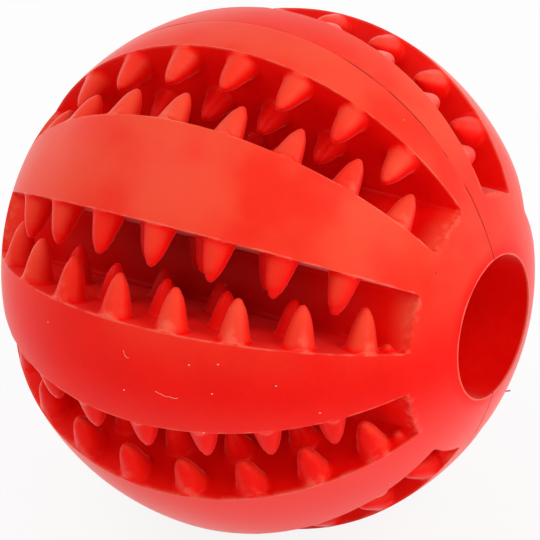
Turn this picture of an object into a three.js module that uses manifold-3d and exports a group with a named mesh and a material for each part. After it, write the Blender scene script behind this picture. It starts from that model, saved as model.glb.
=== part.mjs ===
// A rubber toy ball for dogs: a thick ball with a bore through its middle and deep lengthwise
// grooves, whose two side walls carry rows of blunt teeth that clean the dog's own teeth.
// It is moulded as two equal halves, bonded face to face on a plane through the bore.
//
// Frame, in millimetres: the ball's centre is the origin, X runs along the bore, Z is up, and
// the halves meet on the plane y = 0.

import * as THREE from 'three';
import { mergeVertices } from 'three/addons/utils/BufferGeometryUtils.js';
import Module from 'manifold-3d';

// Driving dimensions of the ball

const ballRadius = 35;
const boreRadius = 9.64;
const coreWall = 7.56; // rubber between the bore and the floor of each groove

// Driving dimensions of the grooves

const groovesPerHalf = 4;
const grooveMouth = 13.4; // width between a groove's edges, at the ball's middle
const wallLean = THREE.MathUtils.degToRad(9.2); // each side wall leans out by this much

// Driving dimensions of the teeth. They stand square to the side walls in rows, one row below
// the next, and each row is shifted by half a pitch from the row above it and from the row
// facing it. An inset is measured from the ball's surface to the middle of a tooth's root.

const toothPitch = 8.3; // along the curve of the outer rows
const toothTipRadius = 0.6;
const toothFullness = 0.75; // 1 would be a straight cone, and less swells its sides
const toothFloorGap = 0.3; // least wall left between a root and the groove's floor
const toothRootSink = 0.6; // how far a root reaches into its wall, so that it is one with it

const leadingWallRows = [
  { inset: 2.2, length: 5.4, rootRadius: 2.15, firstStation: 0 },
  { inset: 8.5, length: 4.4, rootRadius: 2.05, firstStation: 0.5 },
  { inset: 14.8, length: 3.8, rootRadius: 1.9, firstStation: 0 },
];
const trailingWallRows = [
  { inset: 2.2, length: 5.6, rootRadius: 2.15, firstStation: 0.5 },
  { inset: 7.6, length: 4.8, rootRadius: 2.05, firstStation: 0 },
  { inset: 14.3, length: 4.1, rootRadius: 1.9, firstStation: 0.5 },
];

// Fineness of the curved surfaces

const stepsRound = 56;
const stepsBetweenRims = 26;
const stepsAcrossFloor = 4;
const sidesOfOuterTooth = 6;
const sidesOfInnerTooth = 5;
const ringsOfTooth = 2;

// Finish

const rubberRed = '#ec2a1f';
const rubberRoughness = 0.45;

// Sizes that follow from the dimensions above

const floorRadius = boreRadius + coreWall;
const groovePitch = Math.PI / groovesPerHalf;
const halfMouth = grooveMouth / 2;
const edgeHeight = Math.sqrt(ballRadius ** 2 - halfMouth ** 2);
const wallSlope = Math.tan(wallLean);
const wallOffset = halfMouth - wallSlope * edgeHeight;
const rimAngle = Math.acos(boreRadius / ballRadius);
const cutMargin = ballRadius * 0.1;
const outerRowRadius = ballRadius - leadingWallRows[0].inset;

// Solids

const wasm = await Module();
wasm.setup();

function solidFrom(geometry) {
  const bare = geometry.clone();
  bare.deleteAttribute('normal');
  bare.deleteAttribute('uv');
  const merged = mergeVertices(bare, 1e-5);
  const corners = merged.index.array;
  const triangles = [];
  for (let i = 0; i < corners.length; i += 3) {
    const [a, b, c] = corners.slice(i, i + 3);
    if (a !== b && b !== c && c !== a) triangles.push(a, b, c);
  }
  return new wasm.Manifold(
    new wasm.Mesh({
      numProp: 3,
      vertProperties: new Float32Array(merged.attributes.position.array),
      triVerts: new Uint32Array(triangles),
    })
  );
}

function geometryFrom(solid) {
  const { vertProperties, triVerts } = solid.getMesh();
  const geometry = new THREE.BufferGeometry();
  geometry.setAttribute('position', new THREE.BufferAttribute(vertProperties, 3));
  geometry.setIndex(new THREE.BufferAttribute(triVerts, 1));
  geometry.computeVertexNormals();
  return geometry;
}

function joined(solids) {
  return solids.reduce((whole, solid) => whole.add(solid));
}

// The ball with its bore: the profile runs along the outside from rim to rim and back along
// the bore, and is turned about X
function boredBall() {
  const profile = [];
  for (let i = 0; i <= stepsBetweenRims; i++) {
    const angle = rimAngle * ((2 * i) / stepsBetweenRims - 1);
    profile.push(new THREE.Vector2(ballRadius * Math.cos(angle), ballRadius * Math.sin(angle)));
  }
  profile.push(profile[0].clone());
  return solidFrom(new THREE.LatheGeometry(profile, stepsRound).rotateZ(-Math.PI / 2));
}

// A block that holds everything on the -Y side of the plane between the halves
function frontSide() {
  const size = 2 * (ballRadius + cutMargin);
  return solidFrom(new THREE.BoxGeometry(size, size, size).translate(0, -size / 2, 0));
}

// What a groove removes, drawn as it lies on top of the ball: straight walls that lean out, and
// a floor at one distance from the bore, so that the groove runs out through the ball's surface
// at both ends
function grooveCut() {
  const top = ballRadius + cutMargin;
  const reach = wallOffset + wallSlope * top;
  const cornerHeight = heightOnWall(floorRadius, 0);
  const cornerAngle = Math.acos(cornerHeight / floorRadius);
  const section = new THREE.Shape();
  section.moveTo(-reach, top);
  for (let i = 0; i <= stepsAcrossFloor; i++) {
    const angle = cornerAngle * ((2 * i) / stepsAcrossFloor - 1);
    section.lineTo(floorRadius * Math.sin(angle), floorRadius * Math.cos(angle));
  }
  section.lineTo(reach, top);
  const depth = 2 * top;
  const along = new THREE.ExtrudeGeometry(section, { depth, bevelEnabled: false });
  return along.translate(0, 0, -depth / 2).applyMatrix4(
    new THREE.Matrix4().makeBasis(
      new THREE.Vector3(0, 1, 0),
      new THREE.Vector3(0, 0, 1),
      new THREE.Vector3(1, 0, 0)
    )
  );
}

// Height above the bore's axis at which a side wall is the given distance from the ball's
// centre, at one place along the bore
function heightOnWall(distance, along) {
  const a = 1 + wallSlope ** 2;
  const b = 2 * wallSlope * wallOffset;
  const c = wallOffset ** 2 + along ** 2 - distance ** 2;
  const inside = b * b - 4 * a * c;
  return inside < 0 ? 0 : (-b + Math.sqrt(inside)) / (2 * a);
}

// A tooth along +Y from its root: a slightly swollen cone that ends in a blunt tip
function tooth({ length, rootRadius }, sides) {
  const shoulder = length - toothTipRadius;
  const profile = [
    new THREE.Vector2(0, -toothRootSink),
    new THREE.Vector2(rootRadius, -toothRootSink),
  ];
  for (let i = 0; i <= ringsOfTooth; i++) {
    const taper = (1 - i / ringsOfTooth) ** toothFullness;
    const radius = toothTipRadius + (rootRadius - toothTipRadius) * taper;
    profile.push(new THREE.Vector2(radius, (shoulder * i) / ringsOfTooth));
  }
  profile.push(new THREE.Vector2(0, length));
  return new THREE.LatheGeometry(profile, sides);
}

// Every tooth of one row, on the wall at +Y (side 1) or at -Y (side -1) of a groove that lies
// on top of the ball. The row goes on outwards while its roots clear the floor.
function rowOfTeeth(row, side, sides) {
  const lean = side > 0 ? Math.PI - wallLean : wallLean;
  const teeth = [];
  for (let station = row.firstStation; ; station++) {
    const along = outerRowRadius * Math.sin((station * toothPitch) / outerRowRadius);
    const height = heightOnWall(ballRadius - row.inset, along);
    if (height - row.rootRadius < floorRadius + toothFloorGap) break;
    const across = side * (wallOffset + wallSlope * height);
    for (const end of station === 0 ? [1] : [1, -1]) {
      teeth.push(tooth(row, sides).rotateX(lean).translate(end * along, across, height));
    }
  }
  return teeth;
}

function teethOfGroove() {
  const walls = [
    { rows: leadingWallRows, side: 1 },
    { rows: trailingWallRows, side: -1 },
  ];
  return walls.flatMap(({ rows, side }) =>
    rows.flatMap((row, i) =>
      rowOfTeeth(row, side, i === 0 ? sidesOfOuterTooth : sidesOfInnerTooth)
    )
  );
}

// One half: half of the bored ball, less its grooves, with the teeth on the grooves' walls
function toothedHalf() {
  const ball = boredBall();
  const cut = grooveCut();
  const teeth = teethOfGroove();
  let half = ball.intersect(frontSide());
  for (let i = 0; i < groovesPerHalf; i++) {
    const turn = groovePitch * (i + 0.5);
    const placed = teeth.map((shape) => solidFrom(shape.clone().rotateX(turn)));
    half = half.subtract(solidFrom(cut.clone().rotateX(turn)));
    half = half.add(joined(placed).intersect(ball));
  }
  return geometryFrom(half);
}

function rubber() {
  return new THREE.MeshStandardMaterial({
    color: rubberRed,
    roughness: rubberRoughness,
    metalness: 0,
    flatShading: true,
  });
}

// Both halves come from one mould: the back half is the front one turned half a turn about
// the bore
const halfShape = toothedHalf();

const frontHalf = new THREE.Mesh(halfShape, rubber());
frontHalf.name = 'front_half';

const backHalf = new THREE.Mesh(halfShape, rubber());
backHalf.name = 'back_half';
backHalf.rotation.x = Math.PI;

const toyBall = new THREE.Group();
toyBall.name = 'toy_ball';
toyBall.add(frontHalf, backHalf);

export default toyBall;
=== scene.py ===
# %% [markdown]
# A toothed rubber ball for dogs
#
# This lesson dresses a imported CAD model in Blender. The real object is a solid ball of red
# rubber with a bore through it and eight deep grooves, and rows of blunt teeth stand on the
# walls of each groove. It is moulded as two equal halves that are bonded on one plane.
#
# The CAD halves have the right sizes but few faces. Here each half is modelled again with soft
# fillets, rounded edges and a fine surface, and it takes the place of its CAD node.

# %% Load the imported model
import math

import bmesh
import bpy
import numpy as np
from mathutils import Matrix, Vector


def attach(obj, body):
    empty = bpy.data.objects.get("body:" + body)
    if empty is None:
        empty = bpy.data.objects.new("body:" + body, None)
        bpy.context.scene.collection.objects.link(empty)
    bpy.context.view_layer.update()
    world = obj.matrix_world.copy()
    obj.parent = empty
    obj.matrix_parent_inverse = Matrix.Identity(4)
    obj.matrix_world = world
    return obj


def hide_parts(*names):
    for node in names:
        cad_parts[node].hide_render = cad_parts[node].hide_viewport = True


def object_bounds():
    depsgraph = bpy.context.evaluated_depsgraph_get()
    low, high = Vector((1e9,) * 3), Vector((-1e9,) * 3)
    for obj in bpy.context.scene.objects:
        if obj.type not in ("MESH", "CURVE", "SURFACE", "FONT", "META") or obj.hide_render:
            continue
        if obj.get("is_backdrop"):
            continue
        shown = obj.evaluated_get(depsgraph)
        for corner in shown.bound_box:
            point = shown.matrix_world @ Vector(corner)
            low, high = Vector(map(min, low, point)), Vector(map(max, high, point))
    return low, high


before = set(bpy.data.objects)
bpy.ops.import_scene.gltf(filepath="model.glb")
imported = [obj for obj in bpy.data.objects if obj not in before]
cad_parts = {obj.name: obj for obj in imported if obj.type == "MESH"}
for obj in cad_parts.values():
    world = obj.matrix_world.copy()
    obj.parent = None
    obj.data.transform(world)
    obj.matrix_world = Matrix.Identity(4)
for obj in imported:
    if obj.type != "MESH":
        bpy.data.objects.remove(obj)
cad_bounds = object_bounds()
cad_low, cad_high = cad_bounds
print("CAD box in millimetres:", [round(1000 * side, 2) for side in cad_high - cad_low])

# %% [markdown]
# The sizes of the ball
#
# Everything is drawn in millimetres, because rubber moulds are measured that way, and shrunk to
# metres when a piece is done. The ball's size comes from the frame: its height is the diameter,
# and its length along the bore says how wide the bore is, since the bore's rims are circles on
# the sphere. The rest was measured in the photograph.

# %% Sizes in millimetres
MM = 0.001
ball_radius = 500 * (cad_high.z - cad_low.z)
half_length = 500 * (cad_high.x - cad_low.x)
bore_radius = math.sqrt(ball_radius**2 - half_length**2)
core_wall = 7.56
groove_mouth = 13.4
wall_lean = math.radians(9.2)
grooves_per_half = 4

floor_radius = bore_radius + core_wall
groove_step = math.pi / grooves_per_half
edge_height = math.sqrt(ball_radius**2 - (groove_mouth / 2) ** 2)
wall_slope = math.tan(wall_lean)
wall_offset = groove_mouth / 2 - wall_slope * edge_height
print(f"Ball {2 * ball_radius:.2f} across, bore {2 * bore_radius:.2f} across")

# %% [markdown]
# Small helpers for meshes
#
# Blender's modifiers are the usual way to cut and fuse shapes. A modifier normally stays on the
# object, so `worked_out` asks Blender for the finished mesh and drops the modifiers. `turned`
# makes what a lathe makes: a profile turned about an axis, here the X axis.

# %% Helpers: a mesh from points, and modifiers worked out
def mesh_object(name, points, faces):
    """A new object in the scene from points and the faces between them"""
    mesh = bpy.data.meshes.new(name)
    mesh.from_pydata([tuple(p) for p in points], [], faces)
    mesh.validate()
    thing = bpy.data.objects.new(name, mesh)
    bpy.context.scene.collection.objects.link(thing)
    return thing


def worked_out(thing):
    """Bakes the modifiers of a thing into its mesh"""
    bpy.context.view_layer.update()
    evaluated = thing.evaluated_get(bpy.context.evaluated_depsgraph_get())
    mesh = bpy.data.meshes.new_from_object(evaluated)
    thing.modifiers.clear()
    thing.data = mesh
    return thing


def cut_with(thing, tool):
    """Takes a tool's shape out of a thing, and throws the tool away"""
    knife = thing.modifiers.new("cut", "BOOLEAN")
    knife.operation = "DIFFERENCE"
    knife.solver = "MANIFOLD"
    knife.object = tool
    worked_out(thing)
    bpy.data.objects.remove(tool)
    return thing


# %% Helper: a profile turned on a lathe
def turned(profile, steps, loop=False):
    """Points and faces of a profile of (along X, radius) turned about X. A loop joins its end to
    its start, and otherwise both ends are closed at the axis."""
    turns = [2 * math.pi * i / steps for i in range(steps)]
    points = [
        Vector((along, radius * math.cos(turn), radius * math.sin(turn)))
        for along, radius in profile
        for turn in turns
    ]
    rings = len(profile)
    faces = []
    for ring in range(rings if loop else rings - 1):
        first, second = ring * steps, (ring + 1) % rings * steps
        for i in range(steps):
            j = (i + 1) % steps
            faces.append((first + j, second + j, second + i, first + i))
    if not loop:
        faces.append(tuple(reversed(range(steps))))
        faces.append(tuple(range((rings - 1) * steps, rings * steps)))
    return points, faces


# %% [markdown]
# The bored ball
#
# The profile of the bored ball runs along the outside from rim to rim and comes back along the
# bore. Turned about X it gives a closed ring-shaped solid with no face inside. Both halves come
# from one mould, so only one half is modelled: a block takes away what lies behind the parting
# plane.

# %% Turn the ball and keep the front half
steps_round = 360
steps_between_rims = 150
rim_angle = math.acos(bore_radius / ball_radius)


def bored_ball():
    """The whole ball with its bore, as one ring-shaped solid"""
    angles = np.linspace(-rim_angle, rim_angle, steps_between_rims + 1)
    profile = [(ball_radius * math.sin(a), ball_radius * math.cos(a)) for a in angles]
    return mesh_object("ball", *turned(profile, steps_round, loop=True))


def block_behind_parting():
    """A block that holds everything behind the parting plane"""
    far = 2 * ball_radius
    corners = [(x, y, z) for x in (-far, far) for y in (0, far) for z in (-far, far)]
    sides = [(0, 1, 3, 2), (4, 6, 7, 5), (0, 4, 5, 1), (2, 3, 7, 6), (0, 2, 6, 4), (1, 5, 7, 3)]
    return mesh_object("block", corners, sides)


half = cut_with(bored_ball(), block_behind_parting())
print("Bored half:", len(half.data.vertices), "points")

# %% [markdown]
# The core of a groove
#
# In the mould a long wedge-shaped core leaves each groove behind. Its sides lean out by nine
# degrees so that the rubber comes off it, and its underside keeps one distance from the bore.
# The wedge is drawn as a cross-section on top of the ball and stretched along the bore, so far
# that it sticks out of the ball at the top and at both ends.

# %% The plain wedge
corner_round = 0.6
corner_steps = 4
floor_steps = 12
core_top = ball_radius + 1.5
core_reach = math.sqrt(ball_radius**2 - floor_radius**2) + 2


def height_on_wall(distance, along):
    """Height at which a groove's wall is this far from the ball's centre"""
    a = 1 + wall_slope**2
    b = 2 * wall_slope * wall_offset
    c = wall_offset**2 + along**2 - distance**2
    inside = b * b - 4 * a * c
    return 0 if inside < 0 else (-b + math.sqrt(inside)) / (2 * a)


def groove_section():
    """The groove's outline, from its left lip down round the floor to its right lip"""
    corner_height = height_on_wall(floor_radius, 0)
    corner = Vector((wall_offset + wall_slope * corner_height, corner_height))
    up_the_wall = corner + corner_round * Vector((wall_slope, 1)).normalized()
    turn = math.asin(corner.x / floor_radius) - corner_round / floor_radius
    right = []
    for i in range(floor_steps + 1):
        angle = turn * i / floor_steps
        right.append(floor_radius * Vector((math.sin(angle), math.cos(angle))))
    start = right[-1]
    for i in range(1, corner_steps + 1):
        t = i / corner_steps
        right.append(start.lerp(corner, t).lerp(corner.lerp(up_the_wall, t), t))
    right.append(Vector((wall_offset + wall_slope * core_top, core_top)))
    left = [Vector((-p.x, p.y)) for p in reversed(right[1:])]
    return left + right


def plain_wedge():
    """The groove's outline, stretched along the bore"""
    outline = groove_section()
    count = len(outline)
    points = [Vector((x, p.x, p.y)) for x in (-core_reach, core_reach) for p in outline]
    faces = [(i, (i + 1) % count, count + (i + 1) % count, count + i) for i in range(count)]
    faces += [tuple(reversed(range(count))), tuple(range(count, 2 * count))]
    return mesh_object("groove_core", points, faces)


print("Points round the wedge:", len(groove_section()))

# %% [markdown]
# The teeth
#
# The teeth clean the dog's own teeth. They are blunt bullets that stand square to the groove's
# walls and flow into the wall with a small fillet. The rows lie one below the next, each shifted
# by half a pitch, so that the teeth of the two walls mesh like the teeth of a zip. A row ends
# where its roots would reach the groove's floor. The rest of one more tooth shows at both ends
# of the outer row of the trailing wall, as a low nub.

# %% Where the teeth stand
tooth_pitch = 8.3
row_clearance = 0.3
root_sink = 0.8
outer_row_radius = ball_radius - 2.2
leading, trailing = 1, -1

tooth_rows = [
    {"wall": leading, "inset": 2.2, "length": 5.5, "root": 2.12, "first": 0},
    {"wall": leading, "inset": 8.5, "length": 4.5, "root": 2.0, "first": 0.5},
    {"wall": leading, "inset": 14.8, "length": 3.9, "root": 1.85, "first": 0},
    {"wall": trailing, "inset": 2.2, "length": 5.7, "root": 2.12, "first": 0.5},
    {"wall": trailing, "inset": 7.6, "length": 4.9, "root": 2.0, "first": 0},
    {"wall": trailing, "inset": 14.3, "length": 4.2, "root": 1.85, "first": 0.5},
]
nub = {"wall": trailing, "inset": 1.6, "length": 1.0, "root": 1.2}
nub_along = 27.9


def tooth_places(row):
    """Yields the along, height of every tooth in a row"""
    station = row["first"]
    while True:
        along = outer_row_radius * math.sin(station * tooth_pitch / outer_row_radius)
        height = height_on_wall(ball_radius - row["inset"], along)
        if height - row["root"] < floor_radius + row_clearance:
            return
        for end in [1] if station == 0 else [1, -1]:
            yield end * along, height
        station += 1


for row in tooth_rows:
    print("Inset", row["inset"], "has", len(list(tooth_places(row))), "teeth")

# %% Shape one tooth
tip_radius = 0.72
tooth_fullness = 0.62
fillet_size = 0.16
fillet_depth = 0.35
tooth_sides = 40
tooth_rings = 14
tip_rings = 6


def tooth_profile(length, root):
    """Distance from the wall and radius, from inside the wall to the tip"""
    shoulder = length - tip_radius
    profile = [(-root_sink, root + fillet_size)]
    for i in range(tooth_rings + 1):
        out = shoulder * (i / tooth_rings) ** 1.2
        taper = max(0.0, 1 - out / shoulder) ** tooth_fullness
        fillet = fillet_size * math.exp(-out / fillet_depth)
        profile.append((out, tip_radius + (root - tip_radius) * taper + fillet))
    for i in range(1, tip_rings + 1):
        angle = math.pi / 2 * i / (tip_rings + 0.5)
        profile.append((shoulder + tip_radius * math.sin(angle), tip_radius * math.cos(angle)))
    return profile


def placed_tooth(row, along, height):
    """Points and faces of one tooth, square to its wall in the groove on top of the ball"""
    points, faces = turned(tooth_profile(row["length"], row["root"]), tooth_sides)
    lean = wall_lean if row["wall"] == trailing else math.pi - wall_lean
    square_to_wall = Matrix.Rotation(lean, 3, "X") @ Matrix.Rotation(math.pi / 2, 3, "Z")
    foot = Vector((along, row["wall"] * (wall_offset + wall_slope * height), height))
    return [square_to_wall @ point + foot for point in points], faces


print("Rings on a tooth:", len(tooth_profile(tooth_rows[0]["length"], tooth_rows[0]["root"])))

# %% Press the teeth into the core, row by row
def teeth_at(row, places):
    """One object with a tooth at every place"""
    points, faces = [], []
    for along, height in places:
        new_points, new_faces = placed_tooth(row, along, height)
        start = len(points)
        points.extend(new_points)
        faces.extend(tuple(i + start for i in face) for face in new_faces)
    return mesh_object("teeth", points, faces)


groove_core = plain_wedge()
teeth_in_groove = 0
for row in tooth_rows:
    places = list(tooth_places(row))
    teeth_in_groove += len(places)
    cut_with(groove_core, teeth_at(row, places))
nub_height = height_on_wall(ball_radius - nub["inset"], nub_along)
nub_places = [(nub_along, nub_height), (-nub_along, nub_height)]
cut_with(groove_core, teeth_at(nub, nub_places))
print("Teeth in one groove:", teeth_in_groove)

# %% [markdown]
# Melting the creases
#
# Rubber is poured in one piece, so no crease may show where a tooth meets its wall. A bevel on
# such cuts goes wrong easily. A voxel remesh wraps a new, even skin round the toothed core
# instead, and a few rounds of smoothing melt its creases into fillets. The core is cut out of
# the ball only after that, so the lips of the grooves stay crisp, as they are in the photograph.

# %% Smooth the core and cut the four grooves
voxel = 0.27
smoothing_rounds = 3
smoothing_share = 0.5

new_skin = groove_core.modifiers.new("skin", "REMESH")
new_skin.mode = "VOXEL"
new_skin.voxel_size = voxel
melt = groove_core.modifiers.new("melt", "SMOOTH")
melt.factor = smoothing_share
melt.iterations = smoothing_rounds
worked_out(groove_core)
print("Core:", len(groove_core.data.vertices), "points")


def core_turned(turn):
    """A copy of the core, turned about the bore to where one groove lies"""
    placed = bpy.data.objects.new("groove", groove_core.data.copy())
    placed.data.transform(Matrix.Rotation(turn, 4, "X"))
    bpy.context.scene.collection.objects.link(placed)
    return placed


for i in range(grooves_per_half):
    cut_with(half, core_turned(groove_step * (i + 0.5)))
bpy.data.objects.remove(groove_core)
print("Toothed half:", len(half.data.vertices), "points")

# %% [markdown]
# The parting line
#
# Where two moulded halves are bonded, the outer edges of the two flat faces are never quite
# sharp, so a fine V runs along the seam where the bond isn't flush. On this ball it is flush in
# the middle and just short of the rims, and widest at the rims. A loop of edges is cut in beside
# the flat face, and the points on the face's rim are pushed in by the depth of the V there.

# %% The depth of the V
seam_width = 0.2
seam_depth = 0.06
rim_seam_depth = 0.12
closed_seam_depth = 0.02
bore_edge = bore_radius + 0.2
seam_opens, seam_open = 9, 14
seam_closes = 26.5
rim_gap_from = 29


def seam_depth_at(point):
    """The bond is flush in the ball's middle, just short of the rims, and inside the bore"""
    along = abs(point.x)
    if abs(point.z) < bore_edge or seam_closes < along < rim_gap_from:
        return closed_seam_depth
    if along >= rim_gap_from:
        return rim_seam_depth
    opened = min(1.0, max(0.0, (along - seam_opens) / (seam_open - seam_opens)))
    return closed_seam_depth + opened * (seam_depth - closed_seam_depth)


for along in (0, 12, 20, 28, 30):
    print("Seam depth", round(seam_depth_at(Vector((along, 0, 20))), 3), "at", along)

# %% [markdown]
# Crisp lips on round rubber
#
# Smooth shading makes the fine faces look round, but it would also blur the lips of the grooves.
# Edges that turn by more than the given angle are marked sharp, so that round surfaces stay
# smooth and the lips stay crisp. The finished half is shrunk from millimetres to metres.

# %% Finish the half
crisp_angle = math.radians(38)
flat_enough = 1e-4
near_bore = (bore_radius + ball_radius) / 3


def on_plane(point):
    return abs(point.co.y) <= flat_enough


def on_rim(point):
    """A point of the flat face is on its rim if it has a face that leaves the plane"""
    return any(not on_plane(corner) for face in point.link_faces for corner in face.verts)


def finish_half(thing):
    """Opens the V, shrinks the half to metres and sets its shading"""
    form = bmesh.new()
    form.from_mesh(thing.data)
    every = form.verts[:] + form.edges[:] + form.faces[:]
    bmesh.ops.bisect_plane(form, geom=every, plane_co=(0, -seam_width, 0), plane_no=(0, 1, 0))
    for point in form.verts:
        if on_plane(point) and on_rim(point):
            inward = -1 if abs(point.co.z) > near_bore else 1
            point.co.z += inward * seam_depth_at(point.co) * math.copysign(1, point.co.z)
    bmesh.ops.scale(form, vec=(MM, MM, MM), verts=form.verts)
    form.to_mesh(thing.data)
    form.free()
    thing.data.shade_smooth()
    thing.data.set_sharp_from_angle(angle=crisp_angle)
    return thing


half = finish_half(half)
print("Finished half:", len(half.data.polygons), "faces")

# %% [markdown]
# Two halves from one mould
#
# The second half is the first one turned half a turn about the bore. Both objects share one
# mesh, so a change to the mould changes both. Each half takes the place of its CAD node.

# %% Put both halves in place
front = half
front.name = "rubber_front_half"
front.data.name = "moulded_half"
back = bpy.data.objects.new("rubber_back_half", front.data)
bpy.context.scene.collection.objects.link(back)
back.rotation_euler.x = math.pi

for piece, node, slot in (
    (front, "front_half", "front_rubber"),
    (back, "back_half", "back_rubber"),
):
    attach(piece, "root")
    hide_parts(node)
    print(piece.name, "takes the place of", node)

# %% [markdown]
# The camera
#
# A long lens a metre away gives the flat look of the photograph. The camera's azimuth, height
# and roll were solved from the groove edges, the bore's rim and the tooth tips.

# %% Camera
image_size = 540
camera_azimuth = math.radians(29.9)
camera_elevation = math.radians(26.6)
camera_roll = math.radians(-0.2)
radii_away = 30
camera_distance = radii_away * ball_radius * MM
ball_centre_in_photo = (268.0, 269.5)
ball_radius_in_photo = 267.0

sin_a, cos_a = math.sin(camera_azimuth), math.cos(camera_azimuth)
sin_e, cos_e = math.sin(camera_elevation), math.cos(camera_elevation)
to_right = Vector((cos_a, sin_a, 0))
to_top = Vector((-sin_a * sin_e, cos_a * sin_e, cos_e))
to_back = Vector((sin_a * cos_e, -cos_a * cos_e, sin_e))
roll = Matrix.Rotation(camera_roll, 3, to_back)
right, top = roll @ to_right, roll @ to_top

lens_data = bpy.data.cameras.new("camera")
lens_data.sensor_width = 36
focal_pixels = ball_radius_in_photo * math.sqrt(radii_away**2 - 1)
lens_data.lens = focal_pixels * lens_data.sensor_width / image_size
lens_data.shift_x = (image_size / 2 - ball_centre_in_photo[0]) / image_size
lens_data.shift_y = (ball_centre_in_photo[1] - image_size / 2) / image_size
camera = bpy.data.objects.new("camera", lens_data)
camera.matrix_world = Matrix.Translation(camera_distance * to_back) @ Matrix(
    [[right[i], top[i], to_back[i], 0] for i in range(3)] + [[0, 0, 0, 1]]
)
bpy.context.scene.collection.objects.link(camera)
bpy.context.scene.camera = camera
print(f"Lens {lens_data.lens:.1f} mm")

# %% [markdown]
# Red rubber
#
# Moulded natural rubber is satin. It shows no sharp reflections, only a soft shine, and a pale
# sheen where the surface turns away. All of its colour is drawn by formulas in the object's own
# space, so no image is needed, and the marks stay where they are from any side.
#
# A node tree is a sum written with boxes. The helpers below let such sums be written in a line.

# %% Helpers: make a node and feed its sockets
def node_of(tree, kind, **settings):
    """One node. Each setting goes to the property of that name, or else to the socket."""
    made = tree.nodes.new(kind)
    for name, value in settings.items():
        if hasattr(made, name):
            setattr(made, name, value)
        else:
            made.inputs[name.replace("_", " ")].default_value = value
    return made


def feed(tree, socket, value):
    """Gives a socket a link where the value is a socket, and the plain value otherwise"""
    if isinstance(value, bpy.types.NodeSocket):
        tree.links.new(value, socket)
    else:
        socket.default_value = value


# %% Helpers: sums, shares and colours
def calc(tree, operation, *values):
    """One Math node on sockets or numbers"""
    made = node_of(tree, "ShaderNodeMath", operation=operation)
    for i, value in enumerate(values):
        feed(tree, made.inputs[i], value)
    return made.outputs[0]


def times(tree, share, *others):
    """Several shares multiplied together, so that the result shows only where all of them do"""
    for other in others:
        share = calc(tree, "MULTIPLY", share, other)
    return share


def rising(tree, value, start, end, low=0.0, high=1.0):
    """Goes smoothly from low to high while value goes from start to end"""
    made = node_of(tree, "ShaderNodeMapRange", interpolation_type="SMOOTHSTEP")
    sockets = ("Value", "From Min", "From Max", "To Min", "To Max")
    for name, number in zip(sockets, (value, start, end, low, high)):
        feed(tree, made.inputs[name], number)
    return made.outputs["Result"]


def falling(tree, value, start, end, high=1.0, low=0.0):
    """Goes smoothly from high to low while value goes from start to end"""
    return rising(tree, value, start, end, high, low)


def clouds(tree, place, per_metre, detail=2.0):
    """Noise between 0 and 1, with this many clouds to a metre"""
    made = node_of(tree, "ShaderNodeTexNoise", Scale=per_metre, Detail=detail)
    tree.links.new(place, made.inputs["Vector"])
    return made.outputs["Fac"]


def blend_colours(tree, share, first, second):
    made = node_of(tree, "ShaderNodeMix", data_type="RGBA")
    for i, value in ((0, share), (6, first), (7, second)):
        feed(tree, made.inputs[i], value)
    return made.outputs[2]


# %% [markdown]
# Finding the lips of the grooves
#
# Wear, flash and the painted highlight of the edges follow the lips of the grooves and the seam.
# Their places are known from the drawing, so the material works them out: the angle about the
# bore is folded into one groove's share of the circle, which gives the distance across that
# groove and the height above the bore, and with them the distance from the groove's wall.

# %% Distances that the finish follows
def places_on_ball(tree):
    """Sockets by name, most of them distances in millimetres. Only place is in metres, and
    trailing is 1 on the side of the trailing wall and 0 on the other side."""
    at = node_of(tree, "ShaderNodeTexCoord").outputs["Object"]
    scaled = node_of(tree, "ShaderNodeVectorMath", operation="SCALE", Scale=1 / MM)
    tree.links.new(at, scaled.inputs[0])
    split = node_of(tree, "ShaderNodeSeparateXYZ")
    tree.links.new(scaled.outputs[0], split.inputs[0])
    x, y, z = split.outputs
    length = node_of(tree, "ShaderNodeVectorMath", operation="LENGTH")
    tree.links.new(scaled.outputs[0], length.inputs[0])
    squares = [calc(tree, "POWER", part, 2.0) for part in (y, z)]
    from_bore = calc(tree, "SQRT", calc(tree, "ADD", *squares))
    turn = calc(tree, "ARCTAN2", calc(tree, "MULTIPLY", y, -1.0), z)
    in_step = calc(tree, "FLOORED_MODULO", turn, groove_step)
    folded = calc(tree, "SUBTRACT", in_step, groove_step / 2)
    across = calc(tree, "MULTIPLY", from_bore, calc(tree, "SINE", folded))
    height = calc(tree, "MULTIPLY", from_bore, calc(tree, "COSINE", folded))
    wall = calc(tree, "MULTIPLY_ADD", height, wall_slope, wall_offset)
    return {
        "place": at,
        "from_centre": length.outputs["Value"],
        "from_bore": from_bore,
        "along": calc(tree, "ABSOLUTE", x),
        "height": height,
        "outside_wall": calc(tree, "SUBTRACT", calc(tree, "ABSOLUTE", across), wall),
        "trailing": rising(tree, across, -0.5, 0.5),
        "from_parting": calc(tree, "ABSOLUTE", y),
    }


# %% [markdown]
# Satin shine and mottled red
#
# One Principled shader makes the whole finish. The body's own gloss is turned low, and a thin
# coat that mirrors weakly stands in for the satin skin from the mould. A reddish sheen pales the
# edges. The red is mottled by two noises, a wide one and a fine one, and the dull patches are a
# little rougher than the bright ones.

# %% The shine
satin = {
    "Specular IOR Level": 0.05,
    "Specular Tint": (1, 0.88, 0.55, 1),
    "Coat Weight": 0.75,
    "Coat IOR": 1.14,
    "Coat Roughness": 0.35,
    "Sheen Weight": 0.5,
    "Sheen Roughness": 0.25,
    "Sheen Tint": (1, 0.52, 0.46, 1),
}

rubber = bpy.data.materials.new("red_rubber")
rubber.use_nodes = True
tree = rubber.node_tree
shader = tree.nodes["Principled BSDF"]
for socket, value in satin.items():
    shader.inputs[socket].default_value = value
ball = places_on_ball(tree)
print("Nodes that find a place on the ball:", len(tree.nodes))

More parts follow.
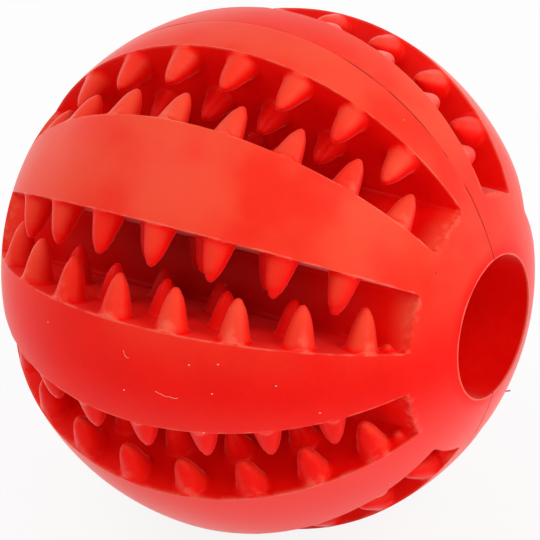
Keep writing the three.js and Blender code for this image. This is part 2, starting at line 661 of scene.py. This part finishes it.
# %% The mottled red
rubber_red = (0.91, 0.005, 0.002, 1)
cloudy_red = (0.85, 0.002, 0.001, 1)
fine_share = 0.3

wide = clouds(tree, ball["place"], per_metre=110, detail=3)
fine = clouds(tree, ball["place"], per_metre=900)
mottle = calc(tree, "MULTIPLY_ADD", fine, fine_share, calc(tree, "MULTIPLY", wide, 1 - fine_share))
colour = blend_colours(tree, rising(tree, mottle, 0.35, 0.65), cloudy_red, rubber_red)
roughness = rising(tree, mottle, 0.3, 0.7, low=0.42, high=0.54)
tree.links.new(roughness, shader.inputs["Roughness"])
print("Nodes with the mottled red:", len(tree.nodes))

# %% [markdown]
# Bloom and painted highlight on top, painted reflection underneath
#
# Rubber sweats a chalky bloom, and dust settles on what faces up, so the upper lands are paler
# and more orange, in patches. Part of that paleness is a painted highlight of the light from above.
# The underside gets a pale pink tint that is a painted reflection of the pale floor. Neither
# reaches the bore or the deep walls. The upward part of the surface's normal says which way a
# face looks.

# %% Where bloom, dust and the painted highlight can reach
def near_surface(deep, shallow):
    """Rises to 1 between two depths under the ball's surface, in millimetres"""
    return rising(tree, ball["from_centre"], ball_radius - deep, ball_radius - shallow)


on_surface = near_surface(0.35, 0.1)
out_of_bore = rising(tree, ball["from_bore"], bore_radius + 0.05, bore_radius + 2)
off_wall = falling(tree, ball["outside_wall"], -1.0, -0.1)
open_to_bloom_and_highlight = calc(tree, "MAXIMUM", on_surface, times(tree, near_surface(3.6, 0.6), off_wall))

# %% Bloom with a painted highlight, and a painted floor reflection
# Paler upper lands: bloom and dust, and partly a painted highlight from the lamps above.
bloom_and_highlight_red = (0.88, 0.066, 0.030, 1)
# A painted reflection of the pale floor on the underside.
painted_reflection_pink = (0.95, 0.068, 0.060, 1)

facing = node_of(tree, "ShaderNodeSeparateXYZ")
tree.links.new(node_of(tree, "ShaderNodeNewGeometry").outputs["Normal"], facing.inputs[0])
upward = facing.outputs["Z"]

# Faces that look up take the paler tone, as bloom and as a painted highlight.
facing_up = rising(tree, upward, -0.1, 0.6)
patches = rising(tree, clouds(tree, ball["place"], per_metre=70, detail=3), 0.35, 0.65, low=0.35)
bloom_and_highlight = times(tree, facing_up, patches, open_to_bloom_and_highlight, out_of_bore)
colour = blend_colours(tree, bloom_and_highlight, colour, bloom_and_highlight_red)

# Faces that look down take a painted reflection of the floor.
facing_floor = falling(tree, upward, -0.45, 0.0, high=0.85)
painted_floor_reflection = times(tree, facing_floor, on_surface, out_of_bore)
colour = blend_colours(tree, painted_floor_reflection, colour, painted_reflection_pink)
print("Nodes with bloom and haze:", len(tree.nodes))

# %% [markdown]
# Painted shade: deeper red in the grooves
#
# Light that goes into a groove bounces from red to red and comes out redder and darker, and
# neither bloom nor the painted highlight pales the walls there. The renderer's own bounces make
# most of that. A darker, deeper red, painted shade, makes the rest: it comes in with the distance
# under the surface, and only between the groove's walls.

# %% Painted shade: deep red
# Painted shade: a darker red deep in the grooves.
painted_shade_red = (0.56, 0.0004, 0.0004, 1)
deepest = floor_radius + 1
shallowest = ball_radius - 4

past_wall = rising(tree, ball["outside_wall"], -0.05, 0.05)
inside = calc(tree, "SUBTRACT", 1.0, past_wall)
depth = falling(tree, ball["from_centre"], deepest, shallowest)
painted_groove_shade = times(tree, depth, inside, out_of_bore)
colour = blend_colours(tree, painted_groove_shade, colour, painted_shade_red)
print(f"Deepest red within {deepest:.2f} of the centre")

# %% [markdown]
# Flash, painted edge highlight and scuffs
#
# Where two parts of a mould meet they leave flash, a thin pale edge: here along the lips of the
# grooves and round the bore's rim. The same pale edge is also a painted highlight there, for the
# light that a slightly rounded lip catches, as the mesh keeps these edges crisp. Pulling the cores
# out marks the rubber too, in short scratches at the ends of the grooves and just under the lips of
# the trailing walls. These could be modelled, but they are thinner than a hair, so the colour alone
# shows them. One ragged noise breaks up their edges.

# %% Flash and painted highlight along the lips, and marks under them
# Pale edge colour: flash, and a painted highlight on the lips and the bore's rim.
flash_and_highlight_pink = (0.93, 0.22, 0.14, 1)
flash_and_highlight_width = 0.5

ragged = clouds(tree, ball["place"], per_metre=420, detail=4)
above_floor = rising(tree, ball["height"], floor_radius, floor_radius + 0.4)
# The lips are paled by flash and a painted highlight, in patches.
lip = falling(tree, ball["outside_wall"], 0.0, calc(tree, "MULTIPLY", ragged, flash_and_highlight_width))
lip_patches = rising(tree, ragged, 0.4, 0.6, low=0.1, high=0.5)
lip = times(tree, lip, past_wall, on_surface, lip_patches, above_floor)
colour = blend_colours(tree, lip, colour, flash_and_highlight_pink)

marks = rising(tree, ragged, 0.45, 0.6, high=0.3)
under_lip = times(tree, near_surface(0.8, 0.2), inside, ball["trailing"], above_floor, marks)
colour = blend_colours(tree, under_lip, colour, flash_and_highlight_pink)
print(f"Flash up to {flash_and_highlight_width} wide along the lips")

# %% Scuffs at the ends of the grooves, and flash and painted highlight round the bore
scuffed_from, scuffed_to = 28.6, 30.3

end_of_groove = rising(tree, ball["along"], scuffed_from, scuffed_to)
near_floor = falling(tree, ball["height"], floor_radius + 0.5, floor_radius + 2.5)
off_bore = rising(tree, ball["from_bore"], floor_radius - 0.9, floor_radius - 0.2)
scratches = clouds(tree, ball["place"], per_metre=1100, detail=3)
scratched = rising(tree, scratches, 0.42, 0.7, high=0.3)
scuff = times(tree, end_of_groove, near_floor, off_bore, inside, scratched)
colour = blend_colours(tree, scuff, colour, flash_and_highlight_pink)

rim_end = calc(tree, "MULTIPLY_ADD", ragged, flash_and_highlight_width, bore_radius)
# The bore's rim is paled by flash and a painted highlight.
rim = falling(tree, ball["from_bore"], bore_radius, rim_end, high=0.7)
colour = blend_colours(tree, times(tree, rim, on_surface), colour, flash_and_highlight_pink)
print("Nodes with flash and scuffs:", len(tree.nodes))

# %% [markdown]
# The dark line of the seam
#
# Dirt settles in the V along the seam and draws a thin dark line. It shows where the V is open,
# which is between the same places along the bore as in the mesh, and a noise breaks it up.

# %% Seam line
seam_red = (0.34, 0.002, 0.002, 1)

in_seam = falling(tree, ball["from_parting"], 0.06, 0.17)
opened = rising(tree, ball["along"], seam_opens, seam_open)
closed = falling(tree, ball["along"], seam_closes - 0.2, seam_closes + 0.5)
at_rim = rising(tree, ball["along"], rim_gap_from - 0.1, rim_gap_from + 0.5)
shows = calc(tree, "MAXIMUM", times(tree, opened, closed), at_rim)
breaks = clouds(tree, ball["place"], per_metre=260, detail=3)
broken = rising(tree, breaks, 0.36, 0.48, low=0.3, high=0.95)
colour = blend_colours(tree, times(tree, in_seam, broken, shows, on_surface), colour, seam_red)
print("Nodes with the seam line:", len(tree.nodes))

# %% [markdown]
# Specks of dust and the grain of the mould
#
# A Voronoi texture splits the space into cells. Each cell has a random colour, which picks a few
# of them, and each of those gets a pale speck at its middle. A very fine noise through a Bump
# node gives the skin the faint grain of the mould's steel.

# %% Specks and grain
dust_pink = (0.93, 0.42, 0.34, 1)

cells = node_of(tree, "ShaderNodeTexVoronoi", Scale=420.0)
tree.links.new(ball["place"], cells.inputs["Vector"])
lot = node_of(tree, "ShaderNodeSeparateColor")
tree.links.new(cells.outputs["Color"], lot.inputs[0])
chosen = rising(tree, lot.outputs[0], 0.93, 0.94, high=0.8)
speck = falling(tree, cells.outputs["Distance"], 0.035, 0.06)
colour = blend_colours(tree, times(tree, speck, chosen), colour, dust_pink)
tree.links.new(colour, shader.inputs["Base Color"])

grain = node_of(tree, "ShaderNodeBump", Strength=0.15, Distance=0.00005)
tree.links.new(clouds(tree, ball["place"], per_metre=2600), grain.inputs["Height"])
tree.links.new(grain.outputs["Normal"], shader.inputs["Normal"])

front.data.materials.clear()
front.data.materials.append(rubber)
print("Nodes in the rubber:", len(tree.nodes))

# %% [markdown]
# Dust, lint and a whisker of flash
#
# Clean rubber fresh from its mould draws dust. The photograph shows a few specks and two short
# fibres on the lower land, and one whisker of flash that the trimmer left near the bore. Each is
# placed where a line of sight through its pixel meets the ball, so it lies on the rubber. The
# fibres are curves with a little thickness, and the specks are tiny blobs sunk by half.

# %% Where a pixel of the photograph meets the ball
def on_ball(pixel_x, pixel_y):
    """The point, in millimetres, where the line of sight through a pixel meets the ball"""
    sight = (
        (pixel_x - ball_centre_in_photo[0]) * right
        - (pixel_y - ball_centre_in_photo[1]) * top
        - focal_pixels * to_back
    ).normalized()
    eye = camera_distance / MM * to_back
    near = eye.dot(sight)
    under_root = max(0.0, near**2 - eye.length_squared + ball_radius**2)
    return eye + sight * (-near - math.sqrt(under_root))


# %% A simple finish for small things
def plain_finish(name, colour, roughness):
    """A colour with faintly paler clouds"""
    material = bpy.data.materials.new(name)
    material.use_nodes = True
    small_tree = material.node_tree
    surface = small_tree.nodes["Principled BSDF"]
    surface.inputs["Roughness"].default_value = roughness
    place = node_of(small_tree, "ShaderNodeTexCoord").outputs["Object"]
    paler = tuple(min(1.0, 1.25 * part) for part in colour[:3]) + (1,)
    tone = blend_colours(small_tree, clouds(small_tree, place, per_metre=1500), colour, paler)
    small_tree.links.new(tone, surface.inputs["Base Color"])
    return material


lint_white = plain_finish("lint", (0.75, 0.38, 0.30, 1), 0.8)
dirt_brown = plain_finish("dirt", (0.16, 0.03, 0.02, 1), 0.8)
flash_rubber = plain_finish("thin_flash", (0.62, 0.05, 0.04, 1), 0.4)
print("Finishes:", [finish.name for finish in (lint_white, dirt_brown, flash_rubber)])

# %% Shapes of specks and fibres
speck_squeeze = (1.0, 0.7, 0.45, 1.0)


def specks(name, pixels, radius, finish):
    """One object with a flattened blob on the ball at every pixel"""
    form = bmesh.new()
    for pixel in pixels:
        spot = on_ball(*pixel)
        turn = spot.to_track_quat("Z", "Y").to_matrix().to_4x4()
        stand = Matrix.Translation(spot) @ turn @ Matrix.Diagonal(speck_squeeze)
        bmesh.ops.create_icosphere(form, subdivisions=2, radius=radius, matrix=stand)
    bmesh.ops.scale(form, vec=(MM, MM, MM), verts=form.verts)
    mesh = bpy.data.meshes.new(name)
    form.to_mesh(mesh)
    form.free()
    mesh.shade_smooth()
    mesh.materials.append(finish)
    thing = bpy.data.objects.new(name, mesh)
    bpy.context.scene.collection.objects.link(thing)
    return thing


def fibre(name, points, thickness, finish):
    """A round thread along a smooth curve through the points"""
    curve = bpy.data.curves.new(name, "CURVE")
    curve.dimensions = "3D"
    curve.bevel_depth = thickness * MM / 2
    curve.bevel_resolution = 2
    line = curve.splines.new("NURBS")
    line.points.add(len(points) - 1)
    for knot, point in zip(line.points, points):
        knot.co = (*(point * MM), 1)
    line.use_endpoint_u = True
    curve.materials.append(finish)
    thing = bpy.data.objects.new(name, curve)
    bpy.context.scene.collection.objects.link(thing)
    return thing


# %% Dust and lint
lint_lift = 1.0012
pale_dust = [(48, 322), (189, 365), (218, 364.5), (276, 386), (320, 413), (212, 394), (124, 390)]
dark_dust = [(436, 273), (274, 385)]
lint_line = [(155, 391), (161, 394), (166, 397), (170, 396), (174, 399), (178, 398)]
short_lint = [(123, 350), (125, 353), (124, 357), (129, 358)]

small_things = [
    specks("pale_dust", pale_dust, 0.12, lint_white),
    specks("dark_dust", dark_dust, 0.13, dirt_brown),
    fibre("long_lint", [on_ball(*p) * lint_lift for p in lint_line], 0.055, lint_white),
    fibre("short_lint", [on_ball(*p) * lint_lift for p in short_lint], 0.05, lint_white),
]

# %% The whisker of flash
whisker_foot = (505.5, 391.5)
whisker_length = 0.7
whisker_thickness = 0.2
lean_up = Vector((0, 0, 0.25))

foot = on_ball(*whisker_foot)
reach = whisker_length / ball_radius
steps = [0.998, 1.0 + 0.5 * reach, 1.0 + reach]
whisker = [foot * step + i * lean_up for i, step in enumerate(steps)]
small_things.append(fibre("flash_whisker", whisker, whisker_thickness, flash_rubber))

for thing in small_things:
    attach(thing, "root")
print("Small things on the ball:", len(small_things))

# %% [markdown]
# The floor and the lights
#
# The photograph was cut out on white. The floor keeps the ball's soft shadow, and both the floor
# and the world are white to the camera and in reflections. The world gives even light, and five
# big soft lamps shape the ball: two high in front, at the left and the right, one low at the
# right, and two behind that light its edges.

# %% White to the eye
def white_to_eye(tree, surface, shadow_share):
    """Mixes in plain white where the camera or a reflection looks at a surface"""
    path = tree.nodes.new("ShaderNodeLightPath").outputs
    seen = calc(tree, "MAXIMUM", path["Is Camera Ray"], path["Is Glossy Ray"])
    seen = calc(tree, "MAXIMUM", seen, path["Is Transmission Ray"])
    white = node_of(tree, "ShaderNodeEmission", Strength=1.0)
    white.inputs["Color"].default_value = (1, 1, 1, 1)
    mix = tree.nodes.new("ShaderNodeMixShader")
    feed(tree, mix.inputs["Fac"], times(tree, seen, 1 - shadow_share))
    feed(tree, mix.inputs[1], surface)
    feed(tree, mix.inputs[2], white.outputs[0])
    return mix.outputs[0]


# %% Floor
floor_reach = 3.0
floor_grey = (0.86, 0.86, 0.86, 1)
shadow_on_floor = 0.12

floor_corners = [(-1, -1), (1, -1), (1, 1), (-1, 1)]
floor_points = [(x * floor_reach, y * floor_reach, cad_low.z) for x, y in floor_corners]
floor = mesh_object("floor", floor_points, [(0, 1, 2, 3)])
floor_paint = bpy.data.materials.new("pale_floor")
floor_paint.use_nodes = True
paint_tree = floor_paint.node_tree
paint = paint_tree.nodes["Principled BSDF"]
paint.inputs["Base Color"].default_value = floor_grey
paint.inputs["Roughness"].default_value = 0.8
paint_seen = white_to_eye(paint_tree, paint.outputs[0], shadow_on_floor)
paint_tree.links.new(paint_seen, paint_tree.nodes["Material Output"].inputs["Surface"])
floor.data.materials.append(floor_paint)
floor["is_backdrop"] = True
print(f"Floor at {cad_low.z / MM:.1f}")

# %% World
room_light = 0.55

world = bpy.data.worlds.new("soft_room")
bpy.context.scene.world = world
world.use_nodes = True
room_tree = world.node_tree
room = room_tree.nodes["Background"]
room.inputs["Color"].default_value = (1, 1, 1, 1)
room.inputs["Strength"].default_value = room_light
room_seen = white_to_eye(room_tree, room.outputs[0], 0.0)
room_tree.links.new(room_seen, room_tree.nodes["World Output"].inputs["Surface"])
print("Light of the room:", room_light)

# %% Lamps
def soft_lamp(name, rightward, upward, backward, size, power):
    """A square soft lamp that faces the ball, placed by the camera's own directions"""
    spot = rightward * right + upward * top + backward * to_back
    data = bpy.data.lights.new(name, "AREA")
    data.size = size
    data.energy = power
    lamp = bpy.data.objects.new(name, data)
    lamp.location = spot
    lamp.rotation_euler = spot.to_track_quat("Z", "Y").to_euler()
    bpy.context.scene.collection.objects.link(lamp)
    return lamp


lamps = [
    soft_lamp("left_lamp", -0.6, 0.65, 0.45, size=0.55, power=2.9),
    soft_lamp("right_lamp", 0.65, 0.5, 0.6, size=0.55, power=3.2),
    soft_lamp("low_lamp", 0.8, -0.3, 0.9, size=0.6, power=4.0),
    soft_lamp("back_left_lamp", -0.75, 0.55, -0.55, size=0.5, power=0.8),
    soft_lamp("back_right_lamp", 1.0, 0.2, -0.25, size=0.5, power=1.8),
]
print("Watts in all:", round(sum(lamp.data.energy for lamp in lamps), 1))

# %% [markdown]
# Colour and size
#
# The Standard view shows colours as they are written. Last, the box of the dressed ball is
# printed, in the same way as the box of the CAD model at the start.

# %% Finish
bpy.context.scene.view_settings.view_transform = "Standard"
dressed_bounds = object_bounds()
dressed_size = dressed_bounds[1] - dressed_bounds[0]
print("Dressed box in millimetres:", [round(1000 * side, 2) for side in dressed_size])
